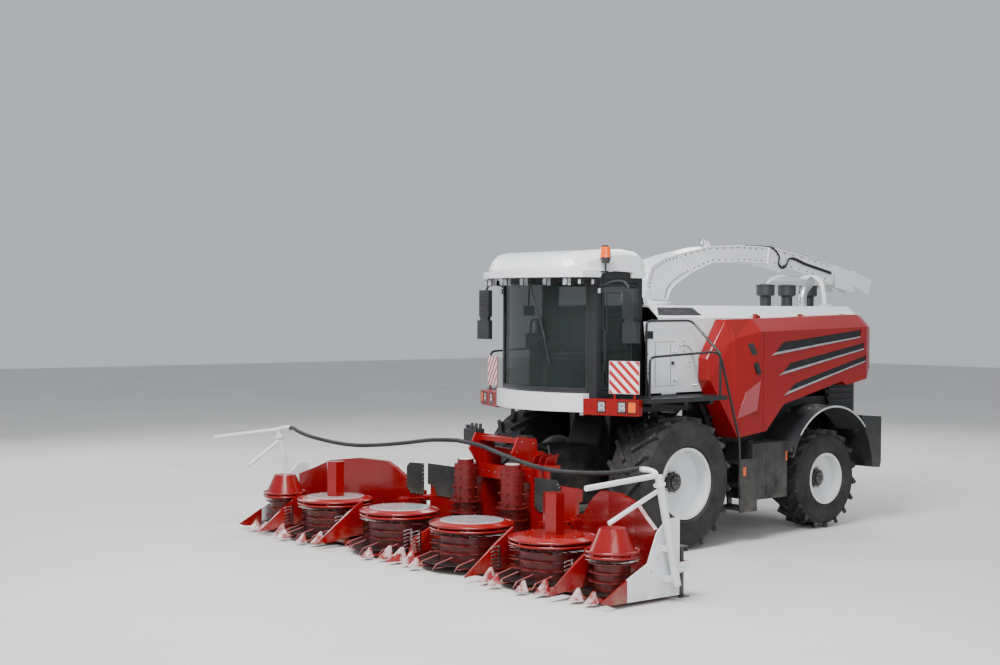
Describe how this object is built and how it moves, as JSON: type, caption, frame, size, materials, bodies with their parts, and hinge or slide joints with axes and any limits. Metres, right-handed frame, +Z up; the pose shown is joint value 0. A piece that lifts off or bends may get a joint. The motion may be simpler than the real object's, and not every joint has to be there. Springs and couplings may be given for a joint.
{
  "type": "forage harvester",
  "caption": "Self-propelled forage harvester with a folding rotary maize header, a walk-round cab, lifting side hoods, steered rear wheels and a swivelling spout.",
  "frame": {"origin": "on the ground below the middle of the machine's length and width", "axes": "+X towards the header at the front, +Y to the driver's left, +Z up"},
  "size_m": [9.8797, 7.8316, 4.2376],
  "materials": {
    "red_paint": "glossy",
    "white_paint": "satin",
    "black_paint": "satin",
    "grey_paint": "satin",
    "tyre": "matt",
    "cab_glass": "clear with a green tint",
    "seat_fabric": "woven",
    "black_plastic": "fine grain",
    "lamp_plastic": "clear",
    "exhaust_steel": "brushed",
    "rod_chrome": "polished",
    "hose_rubber": "matt",
    "engine_iron": "painted"
  },
  "bodies": {
    "chassis": {"chassis_frame": "black_paint", "axles": "grey_paint", "engine": "engine_iron", "side_skirts": "black_plastic", "deck": "white_paint", "side_panels": "white_paint", "hood_fronts": "red_paint", "walkways": "black_paint", "rear_panel": "black_plastic", "counterweight": "black_paint", "cab_frame": "black_paint", "cab_glass": "cab_glass", "cab_roof": "white_paint", "seat": "seat_fabric", "controls": "black_plastic", "apron": "white_paint", "light_bars": "red_paint", "lamps": "lamp_plastic", "mirrors": "black_plastic", "air_intakes": "black_plastic", "exhaust": "exhaust_steel"},
    "wheel_front_left": {"front_tyre_left": "tyre", "front_rim_left": "white_paint"},
    "wheel_front_right": {"front_tyre_right": "tyre", "front_rim_right": "white_paint"},
    "wheel_rear_left": {"rear_tyre_left": "tyre", "rear_rim_left": "white_paint"},
    "wheel_rear_right": {"rear_tyre_right": "tyre", "rear_rim_right": "white_paint"},
    "steer_left": {"knuckle_left": "grey_paint"},
    "steer_right": {"knuckle_right": "grey_paint"},
    "door": {"cab_door": "black_paint", "door_glass": "cab_glass"},
    "hood_lid_left": {"hood_left": "red_paint"},
    "hood_lid_right": {"hood_right": "red_paint"},
    "service_lid": {"service_door": "white_paint"},
    "swivel": {"turntable": "white_paint"},
    "spout_arm": {"spout": "white_paint"},
    "flap": {"spout_flap": "white_paint"},
    "flap_tip": {"spout_tip": "white_paint"},
    "header": {"feeder_house": "black_paint", "header_frame": "red_paint", "crop_hose": "hose_rubber"},
    "lift_barrel_pair": {"lift_barrels": "grey_paint"},
    "lift_rod_pair": {"lift_rods": "rod_chrome"},
    "drum_left": {"feed_drum_left": "red_paint"},
    "drum_right": {"feed_drum_right": "red_paint"},
    "wing_arm_left": {"wing_left": "red_paint", "end_frame_left": "white_paint"},
    "wing_arm_right": {"wing_right": "red_paint", "end_frame_right": "white_paint"},
    "stand_leg_left": {"stand_left": "black_paint"},
    "stand_leg_right": {"stand_right": "black_paint"},
    "rotor_left_1_spin": {"rotor_left_1": "red_paint"},
    "rotor_left_2_spin": {"rotor_left_2": "red_paint"},
    "rotor_left_3_spin": {"rotor_left_3": "red_paint"},
    "rotor_right_1_spin": {"rotor_right_1": "red_paint"},
    "rotor_right_2_spin": {"rotor_right_2": "red_paint"},
    "rotor_right_3_spin": {"rotor_right_3": "red_paint"}
  },
  "joints": [
    {"name": "front_left_roll", "type": "hinge", "parent": "chassis", "child": "wheel_front_left", "pos_m": [0.96, 1.27, 0.895], "axis": [0, 1, 0], "continuous": true},
    {"name": "front_right_roll", "type": "hinge", "parent": "chassis", "child": "wheel_front_right", "pos_m": [0.96, -1.27, 0.895], "axis": [0, 1, 0], "continuous": true},
    {"name": "steer_left_turn", "type": "hinge", "parent": "chassis", "child": "steer_left", "pos_m": [-2.23, 0.86, 0.725], "axis": [0, 0, 1], "range_deg": [-35, 35]},
    {"name": "steer_right_turn", "type": "hinge", "parent": "chassis", "child": "steer_right", "pos_m": [-2.23, -0.86, 0.725], "axis": [0, 0, 1], "range_deg": [-35, 35]},
    {"name": "rear_left_roll", "type": "hinge", "parent": "steer_left", "child": "wheel_rear_left", "pos_m": [-2.23, 1.18, 0.725], "axis": [0, 1, 0], "continuous": true},
    {"name": "rear_right_roll", "type": "hinge", "parent": "steer_right", "child": "wheel_rear_right", "pos_m": [-2.23, -1.18, 0.725], "axis": [0, 1, 0], "continuous": true},
    {"name": "cab_door_turn", "type": "hinge", "parent": "chassis", "child": "door", "pos_m": [1.246, 0.966, 2.8], "axis": [0, 0, 1], "range_deg": [0, 65]},
    {"name": "hood_left_lift", "type": "hinge", "parent": "chassis", "child": "hood_lid_left", "pos_m": [-1.94, 1.13, 3.12], "axis": [1, 0, 0], "range_deg": [0, 70]},
    {"name": "hood_right_lift", "type": "hinge", "parent": "chassis", "child": "hood_lid_right", "pos_m": [-1.94, -1.13, 3.12], "axis": [-1, 0, 0], "range_deg": [0, 70]},
    {"name": "service_door_turn", "type": "hinge", "parent": "chassis", "child": "service_lid", "pos_m": [0.658, 1.114, 2.46], "axis": [0, 0, 1], "range_deg": [0, 100]},
    {"name": "spout_swivel", "type": "hinge", "parent": "chassis", "child": "swivel", "pos_m": [0.07, 0, 3.3], "axis": [0, 0, 1], "range_deg": [-105, 105]},
    {"name": "spout_lift", "type": "hinge", "parent": "swivel", "child": "spout_arm", "pos_m": [0.335, 0, 3.4], "axis": [0, 1, 0], "range_deg": [0, 32]},
    {"name": "flap_bend", "type": "hinge", "parent": "spout_arm", "child": "flap", "pos_m": [-4.02, 0, 3.83], "axis": [0, -1, 0], "range_deg": [-12, 40]},
    {"name": "flap_tip_bend", "type": "hinge", "parent": "flap", "child": "flap_tip", "pos_m": [-4.48, 0, 3.75], "axis": [0, -1, 0], "range_deg": [-12, 40]},
    {"name": "header_lift", "type": "hinge", "parent": "chassis", "child": "header", "pos_m": [1.31, 0, 1.15], "axis": [0, -1, 0], "range_deg": [0, 15]},
    {"name": "lift_barrel_turn", "type": "hinge", "parent": "chassis", "child": "lift_barrel_pair", "pos_m": [1.18, 0, 0.5], "axis": [0, -1, 0], "range_deg": [0, 12.73]},
    {"name": "lift_rod_slide", "type": "slide", "parent": "lift_barrel_pair", "child": "lift_rod_pair", "axis": [0.9992, 0, 0.0406], "range_m": [0, 0.166]},
    {"name": "drum_left_spin", "type": "hinge", "parent": "header", "child": "drum_left", "pos_m": [3.04, 0.48, 0.6], "axis": [0, 0, 1], "continuous": true},
    {"name": "drum_right_spin", "type": "hinge", "parent": "header", "child": "drum_right", "pos_m": [3.04, -0.48, 0.6], "axis": [0, 0, 1], "continuous": true},
    {"name": "wing_left_fold", "type": "hinge", "parent": "header", "child": "wing_arm_left", "pos_m": [3.16, 1.5, 0.56], "axis": [1, 0, 0], "range_deg": [0, 95], "deforming": ["crop_hose"]},
    {"name": "wing_right_fold", "type": "hinge", "parent": "header", "child": "wing_arm_right", "pos_m": [3.16, -1.5, 0.56], "axis": [-1, 0, 0], "range_deg": [0, 95], "deforming": ["crop_hose"]},
    {"name": "stand_left_slide", "type": "slide", "parent": "wing_arm_left", "child": "stand_leg_left", "axis": [0, 0, 1], "range_m": [0, 0.28]},
    {"name": "stand_right_slide", "type": "slide", "parent": "wing_arm_right", "child": "stand_leg_right", "axis": [0, 0, 1], "range_m": [0, 0.28]},
    {"name": "rotor_left_1_turn", "type": "hinge", "parent": "header", "child": "rotor_left_1_spin", "pos_m": [3.93, 0.75, 0.3], "axis": [0, 0, 1], "continuous": true},
    {"name": "rotor_left_2_turn", "type": "hinge", "parent": "wing_arm_left", "child": "rotor_left_2_spin", "pos_m": [3.93, 2.25, 0.3], "axis": [0, 0, 1], "continuous": true},
    {"name": "rotor_left_3_turn", "type": "hinge", "parent": "wing_arm_left", "child": "rotor_left_3_spin", "pos_m": [4.06, 3.35, 0.3], "axis": [0, 0, 1], "continuous": true},
    {"name": "rotor_right_1_turn", "type": "hinge", "parent": "header", "child": "rotor_right_1_spin", "pos_m": [3.93, -0.75, 0.3], "axis": [0, 0, 1], "continuous": true},
    {"name": "rotor_right_2_turn", "type": "hinge", "parent": "wing_arm_right", "child": "rotor_right_2_spin", "pos_m": [3.93, -2.25, 0.3], "axis": [0, 0, 1], "continuous": true},
    {"name": "rotor_right_3_turn", "type": "hinge", "parent": "wing_arm_right", "child": "rotor_right_3_spin", "pos_m": [4.06, -3.35, 0.3], "axis": [0, 0, 1], "continuous": true}
  ],
  "couplings": [
    {"joint": "steer_right_turn", "follows": "steer_left_turn", "ratio": 1},
    {"joint": "flap_tip_bend", "follows": "flap_bend", "ratio": 1},
    {"joint": "lift_barrel_turn", "follows": "header_lift", "ratio": 0.8289},
    {"joint": "lift_rod_slide", "follows": "header_lift", "m_per_rad": 0.6218}
  ]
}
